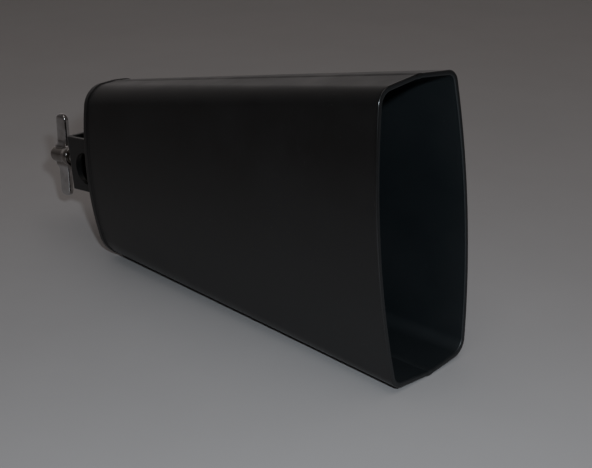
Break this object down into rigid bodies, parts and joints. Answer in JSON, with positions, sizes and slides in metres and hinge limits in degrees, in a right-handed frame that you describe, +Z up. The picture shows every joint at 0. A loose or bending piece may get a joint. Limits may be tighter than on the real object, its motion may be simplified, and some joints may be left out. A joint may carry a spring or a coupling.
{
  "type": "cowbell",
  "caption": "Tapered steel cowbell lying on one narrow side, open at its wide end, with a rod bracket and a wing clamp screw on its closed end.",
  "frame": {"origin": "centre of the overall box on the floor that the bell's lower narrow side lies on", "axes": "+X towards the open mouth, -Y out of the front broad side, +Z up; the bell's own axis rises towards the mouth by 4.9 degrees"},
  "size_m": [0.2714, 0.058, 0.1275],
  "materials": {
    "black_coat": "satin black powder coat",
    "chrome_plate": "polished chrome plate",
    "bright_plate": "bright plated thread"
  },
  "bodies": {
    "bell": {"front_shell": "black_coat", "rear_shell": "black_coat", "upper_seam_weld": "black_coat", "lower_seam_weld": "black_coat", "end_plate": "black_coat", "end_plate_weld": "black_coat", "mount_bracket": "black_coat", "bracket_welds": "black_coat", "weld_nut": "black_coat", "nut_welds": "black_coat"},
    "clamp_stud": {"screw_stud": "bright_plate"},
    "wing_head": {"wing_head": "chrome_plate"}
  },
  "joints": [
    {"name": "screw_travel", "type": "slide", "parent": "bell", "child": "clamp_stud", "axis": [0.9964, 0, 0.0847], "range_m": [-0.00751, 0.00845]},
    {"name": "wing_turn", "type": "hinge", "parent": "clamp_stud", "child": "wing_head", "pos_m": [-0.12593, 0, 0.042], "axis": [0.9964, 0, 0.0847], "range_deg": [-2160, 2430]}
  ],
  "couplings": [
    {"joint": "screw_travel", "follows": "wing_turn", "m_per_rad": 0.00019894}
  ]
}
